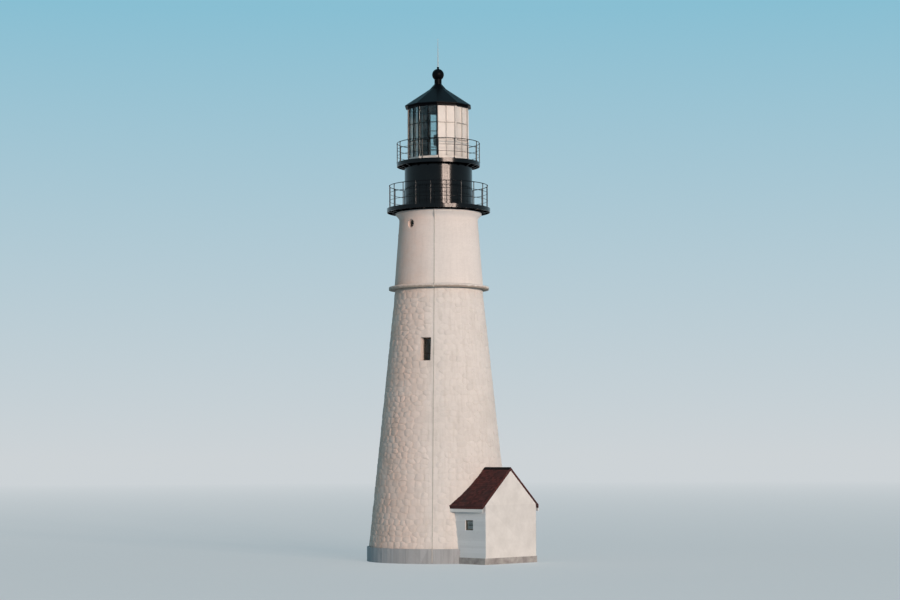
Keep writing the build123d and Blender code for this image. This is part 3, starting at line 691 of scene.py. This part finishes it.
def make_materials():
    masonry_surface("stone_painted_white", paint=(0.795, 0.755, 0.72), stain=(0.56, 0.51, 0.45),
                    streaks=0.34, relief=0.5, relief_scale=22.0)
    masonry_surface("brick_painted_white", paint=(0.82, 0.78, 0.75), stain=(0.62, 0.585, 0.55),
                    streaks=0.20, relief=0.2, relief_scale=40.0, piece_share=0.025)
    # The plinth's cool blue-grey is partly its own worn grey and partly painted shade
    masonry_surface("plinth_stone", paint=(0.42, 0.435, 0.45), stain=(0.27, 0.28, 0.29),
                    streaks=0.6, relief=0.7, relief_scale=9.0, piece_share=0.1, side_shade_tint=(1.0, 1.0, 1.0))
    belt_paint()
    plain_stone("party_wall_render", light=(0.76, 0.74, 0.71), dark=(0.66, 0.64, 0.61), scale=1.5)
    plain_stone("wing_stone", light=(0.46, 0.44, 0.42), dark=(0.27, 0.25, 0.24), scale=2.5)
    plain_stone("floor_stone", light=(0.48, 0.46, 0.43), dark=(0.34, 0.32, 0.30), scale=2.0)
    black_iron()
    white_iron()
    bare_metal()
    enamel()
    glass()
    shingles()
    painted_wood("window_timber", paint=(0.105, 0.090, 0.068), worn=(0.17, 0.15, 0.12), wear=0.4)
    # The clapboards' white is cooled and darkened a little as painted shade
    painted_wood("clapboard_white", paint=(0.74, 0.76, 0.77), worn=(0.46, 0.45, 0.43), wear=0.5)
    painted_wood("trim_white", paint=(0.80, 0.79, 0.77), worn=(0.50, 0.47, 0.43), wear=0.4)
    painted_wood("floor_boards", paint=(0.27, 0.18, 0.11), worn=(0.16, 0.11, 0.07), wear=0.7,
                 roughness=0.6)


def paint_parts():
    """Gives every rigid part the material of its slot."""
    for part in frame["record"]["subparts"]:
        obj = frame["nodes"][part["node"]]
        obj.data.materials.clear()
        obj.data.materials.append(materials[part["material_slot"]])


# Stone cone

stone_low, stone_high, foot_radius, shoulder_radius = ends("stone_wall_west")


def cone_radius(z):
    """Outer radius of the stone cone at a height."""
    return foot_radius + (shoulder_radius - foot_radius) * (z - stone_low) / (stone_high - stone_low)


def clipped(outline, nx, ny, limit):
    """The part of an outline where nx * u + ny * v stays under a limit."""
    kept = []
    for i, (u, v) in enumerate(outline):
        u2, v2 = outline[(i + 1) % len(outline)]
        here, there = nx * u + ny * v - limit, nx * u2 + ny * v2 - limit
        if here <= 0:
            kept.append((u, v))
        if here * there < 0:
            t = here / (here - there)
            kept.append((u + (u2 - u) * t, v + (v2 - v) * t))
    return kept


def cut_corners(outline):
    """An outline with each corner cut off."""
    cut = []
    for i, (u, v) in enumerate(outline):
        u2, v2 = outline[(i + 1) % len(outline)]
        cut.append((u + (u2 - u) * corner_cut, v + (v2 - v) * corner_cut))
        cut.append((u2 + (u - u2) * corner_cut, v2 + (v - v2) * corner_cut))
    return cut


def area_of(outline):
    """The area inside an outline."""
    following = outline[1:] + outline[:1]
    return abs(sum(u * v2 - u2 * v for (u, v), (u2, v2) in zip(outline, following))) / 2


def frame_points(upper):
    """Corners of the upper, round window's frame, or of the lower, square one's."""
    points = node_points("tower_window_frames")
    return points[(points[:, 2] > stone_high) == upper]


def window_opening():
    """Angle in radians, half width, sill, head and outer face of the square window."""
    points = frame_points(False)
    angle = side_of(points)
    across = points[:, 1] * math.cos(angle) - points[:, 0] * math.sin(angle)
    out = points[:, 0] * math.cos(angle) + points[:, 1] * math.sin(angle)
    sill, head = float(points[:, 2].min()), float(points[:, 2].max())
    return angle, float(np.abs(across).max()), sill, head, float(out.max())


def stone_seeds():
    """The middles of the stones as angle and height pairs, in rough courses."""
    seeds = []
    z = stone_low + stone_course * first_course
    while z < stone_high:
        count = round(math.tau * cone_radius(z) / (stone_width * random.uniform(*width_spread)))
        shift = random.uniform(0, 1)
        for k in range(count):
            turn = (k + shift + random.uniform(-seed_jitter, seed_jitter)) * math.tau / count
            seeds.append((turn, z + random.uniform(-seed_jitter, seed_jitter) * stone_course))
        z += stone_course * random.uniform(*course_spread)
    return np.array(seeds)


def stone_cell(seeds, angle, z):
    """A stone's share of the wall between its neighbours, as an outline about its middle."""
    du = apart(seeds[:, 0], angle) * cone_radius(z) * stone_squash
    dv = seeds[:, 1] - z
    near = np.argsort(du * du + dv * dv)[1:cell_neighbours + 1]
    outline = [(u * cell_reach, v * cell_reach) for u, v in ((-1, -1), (1, -1), (1, 1), (-1, 1))]
    for k in near:
        length = math.hypot(du[k], dv[k])
        if length > 1e-6:
            outline = clipped(outline, du[k] / length, dv[k] / length, (length - stone_joint) / 2)
    outline = clipped(outline, 0, 1, stone_high - z - opening_gap)
    return clipped(outline, 0, -1, z - stone_low - opening_gap)


def clear_of_window(outline, angle, z, window):
    """An outline cut back from the window, and empty for a stone in the opening."""
    window_angle, half, sill, head = window[:4]
    off = apart(angle, window_angle)
    across = off * cone_radius(z)
    outside = [across - half, -across - half, z - head, sill - z]
    nearest = max(outside)
    if abs(off) >= window_span or nearest >= window_reach:
        return outline
    if nearest < 0:
        return []
    nu, nv = ((-1, 0), (1, 0), (0, -1), (0, 1))[outside.index(nearest)]
    return clipped(outline, nu, nv, nearest * (stone_squash if nu else 1) - opening_gap)


def stone_shape(outline, middle, angle, z, relief, lean):
    """One stone: a buried foot, a low edge, a smaller face and a crown in its middle."""
    middle_u, middle_v = middle
    radius = cone_radius(z)
    points = []
    for scale, rise in ((1.0, -stone_bury), (1.0, relief * edge_relief), (face_share, relief)):
        for u, v in outline:
            u2 = middle_u + (u - middle_u) * scale
            v2 = middle_v + (v - middle_v) * scale
            tilt = (u2 - middle_u) * lean[0] + (v2 - middle_v) * lean[1] if rise > 0 else 0
            points.append(round_point(cone_radius(z + v2) + rise + tilt, angle + u2 / radius, z + v2))
    crown = cone_radius(z + middle_v) + relief * crown_relief
    points.append(round_point(crown, angle + middle_u / radius, z + middle_v))
    size = len(outline)
    faces = [tuple(range(size))] + bands(3, size)
    faces += [(2 * size + i, 2 * size + (i + 1) % size, 3 * size) for i in range(size)]
    return points, faces


def rubble_stones():
    """Painted rubble stones that stand a little proud of their joints all round the cone."""
    seeds = stone_seeds()
    window = window_opening()
    strip_angle = side_of(node_points("lightning_conductor"))
    wing_half = -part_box("wing_near_wall")[0].y
    cap_height = levels("wing_ridge_cap")[1]
    pile = Pile()
    for angle, z in seeds:
        radius = cone_radius(z)
        x, y, z = round_point(radius, angle, z)
        under_roof = z < cap_height - hidden_drop - abs(y) * hidden_slope
        if x > 0 and abs(y) < wing_half - hidden_inset and under_roof:
            continue
        outline = clear_of_window(stone_cell(seeds, angle, z), angle, z, window)
        if len(outline) < 3:
            continue
        outline = [(u / stone_squash, v) for u, v in outline]
        if area_of(outline) < smallest_stone:
            continue
        middle = [sum(values) / len(outline) for values in zip(*outline)]
        outline = cut_corners(outline)
        relief = random.uniform(*stone_relief)
        lean = random.uniform(-stone_tilt, stone_tilt, 2)
        strip_u = apart(strip_angle, angle) * radius
        edges = [u for u, v in outline]
        if min(edges) - strip_clearance < strip_u < max(edges) + strip_clearance:
            relief, lean = flat_relief, (0.0, 0.0)
        pile.add(stone_shape(outline, middle, angle, z, relief, lean))
    pile.piece("rubble_stones", "stone_painted_white", smooth=60)


# Belt course, bricks and cornice

brick_low, brick_high, brick_foot_radius, brick_head_radius = ends("brick_wall_west")


def shaft_radius(z):
    """Outer radius of the brick section at a height."""
    share = (z - brick_low) / (brick_high - brick_low)
    return brick_foot_radius + (brick_head_radius - brick_foot_radius) * share


def belt_stones():
    """Cut stones with a sloped top, each a joint from the next."""
    low, high = levels("belt_course")
    inner, outer = radii_at("belt_course", low)
    edge = float(widest("belt_course")[1].max())
    back = radii_at("belt_course", high)[1]
    gap = math.degrees(belt_joint / outer)
    pile = Pile()
    for k in range(belt_count):
        face = outer + random.uniform(-belt_give, 0.0)
        profile = [(inner, low), (face - belt_lower_edge, low), (face, low + belt_lower_edge),
                   (face, edge - belt_upper_edge), (face - belt_upper_edge, edge), (back, high),
                   (inner, high)]
        pile.add(lathe(profile, 360 * k / belt_count + gap / 2, 360 / belt_count - gap))
    pile.piece("belt_stones", "belt_stone", smooth=35, nodes=["belt_course"])


def porthole_opening():
    """Angle in radians, height and radius of the round window."""
    points = frame_points(True)
    low, high = float(points[:, 2].min()), float(points[:, 2].max())
    return side_of(points), (high + low) / 2, (high - low) / 2


def brick_courses(pile, hole_angle, hole_height, hole_radius):
    """Stretcher courses all round, up to the ring about the round window."""
    courses = round((brick_high - brick_low) / brick_course)
    course = (brick_high - brick_low) / courses
    kept_clear = hole_radius + surround_width * surround_cover + surround_gap
    for row in range(courses):
        z = brick_low + (row + 0.5) * course
        radius = shaft_radius(z)
        count = round(math.tau * radius / brick_length)
        width = math.tau * radius / count - brick_joint
        for k in range(count):
            angle = math.tau * (k + 0.5 * (row % 2)) / count
            if math.hypot(apart(angle, hole_angle) * radius, z - hole_height) < kept_clear:
                continue
            proud = brick_proud + random.uniform(-brick_give, brick_give)
            depth = brick_bury + proud
            spot = outward(math.degrees(angle), radius + proud - depth / 2, z)
            pile.add(placed(block((depth, width, course - brick_joint)), spot))


def brick_ring(pile, hole_angle, hole_height, hole_radius):
    """A ring of bricks on end about the round window."""
    share = math.tau / surround_bricks
    start, end = hole_radius + surround_start, hole_radius + surround_width
    for k in range(surround_bricks):
        points = []
        for reach in (-brick_bury, brick_proud + surround_lift):
            for side, out in ((-0.5, start), (0.5, start), (0.5, end), (-0.5, end)):
                turn = math.tau * k / surround_bricks + side * (share - brick_joint / out)
                z = hole_height + out * math.sin(turn)
                radius = shaft_radius(z) + reach
                angle = hole_angle + math.asin(out * math.cos(turn) / radius)
                points.append(round_point(radius, angle, z))
        pile.add((points, slab_faces))


def brick_faces():
    """Painted bricks in courses, and a ring of them about the round window."""
    hole = porthole_opening()
    pile = Pile()
    brick_courses(pile, *hole)
    brick_ring(pile, *hole)
    pile.piece("brick_faces", "brick_painted_white")


def cornice_flare():
    """The flared cornice, smooth under its paint."""
    low, high = levels("cornice")
    inner, foot = radii_at("cornice", low)
    outer = radii_at("cornice", high)[1]
    lip = float(widest("cornice")[1].min())
    profile = [(inner, high), (inner, low)]
    for k in range(flare_steps + 1):
        t = k / flare_steps
        profile.append((foot + (outer - foot) * t * t, low + (lip - low) * t))
    profile += [(outer, high - cornice_edge), (outer - cornice_edge, high)]
    Pile(lathe(profile)).piece("cornice_flare", "brick_painted_white", smooth=30, nodes=["cornice"])


def brick_mouldings():
    """A thin string band under the round window and a fillet at the cornice's foot."""
    pile = Pile()
    for low, height, proud in ((brick_high - band_drop, band_height, band_proud),
                               (brick_high - fillet_height / 2, fillet_height, fillet_proud)):
        high = low + height
        profile = [(shaft_radius(low) - brick_bury, low), (shaft_radius(low) + proud, low),
                   (shaft_radius(high) + proud, high), (shaft_radius(high) - brick_bury, high)]
        pile.add(lathe(profile))
    pile.piece("brick_mouldings", "brick_painted_white", smooth=40)


# Galleries, watch room, lantern and roof

def round_iron(name, node):
    """A smooth round iron ring in place of a flat-sided one."""
    low, high = levels(node)
    inner, outer = radii_at(node, low)
    profile = [(inner, low), (outer - iron_edge, low), (outer, low + iron_edge),
               (outer, high - iron_edge), (outer - iron_edge, high), (inner, high)]
    Pile(lathe(profile)).piece(name, "iron_black", smooth=40, nodes=[node])


def watch_room():
    """The round iron wall, smooth and open at its door."""
    low, high = levels("watch_room_wall")
    inner, outer = radii_at("watch_room_wall", low)
    door_low, door_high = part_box("watch_room_door")
    middle = (door_low + door_high) / 2
    angle = math.degrees(math.atan2(middle.y, middle.x))
    half = math.degrees(math.asin((door_high.x - door_low.x) / 2 / inner))
    wall = [(inner, low), (outer, low), (outer, high), (inner, high)]
    over = [(inner, door_high.z), (outer, door_high.z), (outer, high), (inner, high)]
    pile = Pile(lathe(wall, angle + half, 360 - 2 * half), lathe(over, angle - half, 2 * half))
    pile.piece("watch_room_shell", "iron_black", smooth=40, nodes=["watch_room_wall"])


def railing(name, node, bays):
    """Round posts with ball tops, a round top rail and two thinner rails."""
    low, high = levels(node)
    height = high - low
    radius = sum(radii_at(node, low)) / 2
    top = low + height - finial_radius
    pile = Pile()
    for k in range(bays):
        x, y, z = round_point(radius, math.tau * k / bays, low)
        foot = [(x, y, z), (x, y, z + post_foot_height)]
        pile.add(tube([(x, y, z), (x, y, top)], post_radius, post_sides))
        pile.add(tube(foot, post_radius * post_foot_spread, post_sides))
        pile.add(ball((x, y, top), finial_radius))
    for level, thickness in ((low + height - rail_radius, rail_radius),
                             (low + height * 2 / 3, mid_rail_radius),
                             (low + height / 3, mid_rail_radius)):
        pile.add(tube(ring(radius, level, rail_steps), thickness, rail_sides, closed=True))
    pile.piece(name, "iron_black", smooth=50, nodes=[node])


def putty_and_shade_lines():
    """Dark lines on the white sides of the lantern, along the bars and the posts: painted shade where
    they meet the panels, also putty.
    """
    base, top = levels("lantern_blank_panels")
    points = node_points("lantern_curb")
    radii = radii_of(points)
    corner = points[radii.argmax()]
    first = math.degrees(math.atan2(corner[1], corner[0]))
    turn = 360 / lantern_sides
    face = float(radii.max()) * math.cos(math.radians(turn / 2))
    half_side = float(radii.max()) * math.sin(math.radians(turn / 2))
    post_line = half_side - post_cover
    edge = (bar_cover - shade_line_width) / 2
    upright = block((shade_line_depth, shade_line_width, top - base - shade_line_depth))
    level = block((shade_line_depth, 2 * post_line, shade_line_width))
    pile = Pile()
    for side in blank_sides:
        middle = first + turn * (side + 0.5)
        for along in (-post_line, -edge, edge, post_line):
            moved = placed(upright, Matrix.Translation((0, along, 0)))
            pile.add(placed(moved, outward(middle, face, (base + top) / 2)))
        for tier in range(1, tiers):
            for lift in (-edge, edge):
                height = base + (top - base) * tier / tiers + lift
                pile.add(placed(level, outward(middle, face, height)))
    pile.piece("putty_and_shade_lines", "iron_black")


def ventilator_ball():
    """The ball on its neck, with a collar for the rod."""
    low, high, neck, collar = ends("ventilator")
    radius, girth = widest("ventilator", girth_tolerance)
    centre = float(girth.mean())
    foot = centre - math.sqrt(radius ** 2 - neck ** 2)
    first, last = -math.acos(neck / radius), math.acos(collar / radius)
    line = [(neck, low), (neck, foot)]
    for k in range(1, ball_bands):
        turn = first + (last - first) * k / ball_bands
        line.append((radius * math.cos(turn), centre + radius * math.sin(turn)))
    line += [(collar, centre + radius * math.sin(last)), (collar, high)]
    pile = Pile(solid_lathe(line, ball_steps))
    pile.piece("ventilator_ball", "iron_black", smooth=40, nodes=["ventilator"])


def rod():
    """The lightning rod: a socket, a tapered rod and a point."""
    low, high, thick, thin = ends("lightning_rod")
    line = [(thick, low), (thick, low + rod_socket), (thin, high - rod_tip), (thin * rod_point, high)]
    shape = solid_lathe(line, rod_steps)
    Pile(shape).piece("lightning_rod_round", "bare_conductor", smooth=40, nodes=["lightning_rod"])


def beacon_lamp():
    """The beacon and its pedestal, round in place of flat-sided."""
    low, high = levels("beacon")
    body = radii_at("beacon", low)[1]
    rib, heights = widest("beacon")
    line = [(body, low), (body, heights.min()), (rib, heights.min()), (rib, heights.max()),
            (body, heights.max()), (body, high)]
    drum = Pile(solid_lathe(line, beacon_steps))
    drum.piece("beacon_drum", "beacon_grey", smooth=30, nodes=["beacon"])
    low, high = levels("beacon_pedestal")
    foot, heights = widest("beacon_pedestal")
    stem = radii_at("beacon_pedestal", high)[1]
    line = [(foot, low), (foot, heights.max()), (stem, heights.max()), (stem, high)]
    stand = Pile(solid_lathe(line, beacon_steps))
    stand.piece("beacon_stand", "beacon_grey", smooth=30, nodes=["beacon_pedestal"])


# Entry wing

roof_points = node_points("wing_roof_near")
ridge_height = float(roof_points[:, 2].max())
eave_y = float(-roof_points[:, 1].min())
eave_top = float(roof_points[np.abs(roof_points[:, 1] + eave_y) < level_tolerance, 2].max())
eave_bottom = float(roof_points[:, 2].min())
roof_fall = (ridge_height - eave_top) / eave_y
slope = math.hypot(eave_y, ridge_height - eave_top)
down_y, down_z = eave_y / slope, -(ridge_height - eave_top) / slope


def roof_line(y):
    """Height of the roof's underside at a distance from the ridge."""
    return ridge_height - roof_fall * abs(y) - (eave_top - eave_bottom)


def tower_face_x(y, z):
    """Where the tower's wall stands at a distance from the wing's middle line."""
    radius = cone_radius(z) if z >= stone_low else radii_at("foundation_plinth", 0)[1]
    return math.sqrt(max(radius ** 2 - y ** 2, 0))


def board(side, face, x0, x1, z0, z1):
    """One lapped board, thicker at its lower edge."""
    outline = ((face - board_back, z0), (face + board_butt, z0), (face + board_top, z1),
               (face - board_back, z1))
    return [(x, side * y, z) for x in (x0, x1) for y, z in outline], slab_faces


def clapboards():
    """Lapped boards on both side walls, over the end of the party wall too."""
    wall_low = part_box("wing_near_wall")[0]
    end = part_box("wing_party_wall")[1].x
    window_low, window_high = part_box("wing_window_glass")
    half_window = (window_high.x - window_low.x) / 2 + window_margin
    window_x = (window_high.x + window_low.x) / 2
    sill, head = window_low.z - window_margin, window_high.z + window_margin
    face = -wall_low.y
    eave = roof_line(face)
    pile = Pile()
    for side in (-1, 1):
        for row in range(math.ceil((eave - wall_low.z) / board_exposure)):
            z0 = wall_low.z + row * board_exposure
            z1 = min(z0 + board_exposure + board_lap, eave - eave_gap)
            if z1 - z0 < board_least:
                continue
            start = tower_face_x(face, z0) - board_bury
            spans = [(start, end)]
            if z0 < head and z1 > sill:
                spans = [(start, window_x - half_window), (window_x + half_window, end)]
            for x0, x1 in spans:
                pile.add(board(side, face, x0, x1, z0, z1))
    pile.piece("clapboards", "clapboard_white")


def shingle(side, x0, x1, low_d, high_d, butt):
    """One shingle between two distances down the slope, thicker at its lower edge."""
    outline = ((low_d, 0.0), (low_d, butt), (high_d, shingle_head), (high_d, -shingle_head))
    points = [(x, side * (d * down_y - rise * down_z), ridge_height + d * down_z + rise * down_y)
              for x in (x0, x1 - shingle_gap) for d, rise in outline]
    return points, slab_faces


def shingle_roof():
    """Shingles in courses on both slopes."""
    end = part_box("wing_roof_near")[1].x
    rows = math.ceil(slope / shingle_exposure)
    pile = Pile()
    for side in (-1, 1):
        for row in range(rows):
            low_d = slope - row * slope / rows
            high_d = max(low_d - slope / rows * shingle_lap, ridge_gap)
            x = tower_face_x(low_d * down_y, ridge_height + low_d * down_z) - shingle_bury
            x += random.uniform(-row_shift, 0)
            while x < end - verge_gap:
                x1 = min(x + random.uniform(*shingle_width), end)
                if x1 - x > shingle_least:
                    slipped = low_d + random.uniform(-shingle_slip, 0.0)
                    butt = shingle_butt * random.uniform(*butt_spread)
                    pile.add(shingle(side, x, x1, slipped, high_d, butt))
                x = x1
    pile.piece("roof_shingles", "shingle_red")


def window_bars():
    """An upright and two cross bars in the tower's window, a cross bar in the wing's."""
    angle, half, sill, head, face = window_opening()
    turn = math.degrees(angle)
    depth = face - bar_inset
    upright = block((bar_depth, bar_width, head - sill - bar_ends))
    pile = Pile(placed(upright, outward(turn, depth, (sill + head) / 2)))
    for share in (1 / 3, 2 / 3):
        cross = block((bar_depth, 2 * half - bar_ends, bar_width))
        pile.add(placed(cross, outward(turn, depth, sill + (head - sill) * share)))
    low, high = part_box("wing_window_glass")
    middle = (low + high) / 2
    cross = block((high.x - low.x + wing_bar_bury, wing_bar_depth, bar_width))
    for side in (low.y, high.y):
        y = side + (wing_bar_inset if side < 0 else -wing_bar_inset)
        pile.add(placed(cross, Matrix.Translation((middle.x, y, middle.z))))
    pile.piece("window_bars", "window_timber")


# Setting: floor, light and camera

def floor_surface():
    """Pale matt floor that fades into the backdrop far away."""
    s = Surface("studio_floor")
    distance = s.add("ShaderNodeVectorMath", {0: s.place}, operation="LENGTH").outputs["Value"]
    fade = s.between(distance, fade_start, floor_radius * fade_end)
    s.finish(floor_colour, s.spread(s.noise(0.15), 0.8, 0.9), specular=0.2)
    glow = s.add("ShaderNodeEmission", {"Color": s.mix(fade, floor_glow, backdrop_foot)})
    share = s.maths("MULTIPLY", s.between(fade, 0, 1, floor_glow_share, 1.0), s.seen())
    s.show(s.layer(share, s.shader.outputs[0], glow.outputs[0]))
    return s.material


def floor_disc():
    """A wide pale floor that keeps the shadow."""
    mesh = bpy.data.meshes.new("floor")
    mesh.from_pydata(ring(floor_radius, 0.0, floor_steps), [], [tuple(range(floor_steps))])
    mesh.materials.append(floor_surface())
    floor = linked("floor", mesh)


def background():
    """Cool soft light from all round, seen as a plain backdrop that is palest at eye level."""
    world = bpy.data.worlds.new("studio")
    scene.world = world
    w = Nodes(world)
    fill = w.tree.nodes["Background"]
    w.set(fill.inputs["Color"], ambient)
    w.set(fill.inputs["Strength"], ambient_strength)
    direction = w.add("ShaderNodeTexCoord").outputs["Generated"]
    share = w.between(w.upward(direction), 0.0, math.sin(math.radians(backdrop_height)))
    backdrop = w.add("ShaderNodeBackground", {"Color": w.mix(share, backdrop_foot, backdrop_top)})
    w.show(w.layer(w.seen(), fill.outputs[0], backdrop.outputs[0]), "World Output")


def key_lamps():
    """A low warm key light to the right of the camera: three soft lamps side by side."""
    rise = math.radians(key_elevation)
    for turn in lamp_turns:
        light = bpy.data.lights.new("key", "SUN")
        light.energy = key_strength / len(lamp_turns)
        light.color = key_colour
        light.angle = math.radians(lamp_angle)
        lamp = linked("key", light)
        azimuth = math.radians(camera_azimuth + key_turn + turn)
        towards = Vector(round_point(math.cos(rise), azimuth, math.sin(rise)))
        lamp.rotation_mode = "QUATERNION"
        lamp.rotation_quaternion = towards.to_track_quat("Z", "Y")


def camera():
    """The photograph's place and direction, with a longer lens."""
    low, high = packed_bounds
    azimuth = math.radians(camera_azimuth)
    place = Vector(round_point(camera_distance, azimuth, camera_height))
    right = Vector((-math.sin(azimuth), math.cos(azimuth), 0))
    aim = right * aim_right + Vector((0, 0, (low.z + high.z) / 2 - aim_drop))
    roll = Matrix.Rotation(math.radians(camera_roll), 4, "Z").to_quaternion()
    data = bpy.data.cameras.new("camera")
    data.lens = lens
    data.clip_end = camera_reach
    seen_from = linked("camera", data)
    seen_from.location = place
    seen_from.rotation_mode = "QUATERNION"
    seen_from.rotation_quaternion = (aim - place).to_track_quat("-Z", "Y") @ roll
    scene.camera = seen_from


make_materials()
paint_parts()
rubble_stones()
belt_stones()
brick_faces()
brick_mouldings()
cornice_flare()
round_iron("bearing_ring", "main_gallery_ring")
round_iron("main_rim", "main_gallery_rim")
round_iron("upper_rim", "upper_gallery_rim")
watch_room()
railing("main_railing", "main_gallery_railing", main_bays)
railing("upper_railing", "upper_gallery_railing", upper_bays)
putty_and_shade_lines()
ventilator_ball()
rod()
beacon_lamp()
clapboards()
shingle_roof()
window_bars()
floor_disc()
background()
key_lamps()
camera()
scene.view_settings.view_transform = "Standard"
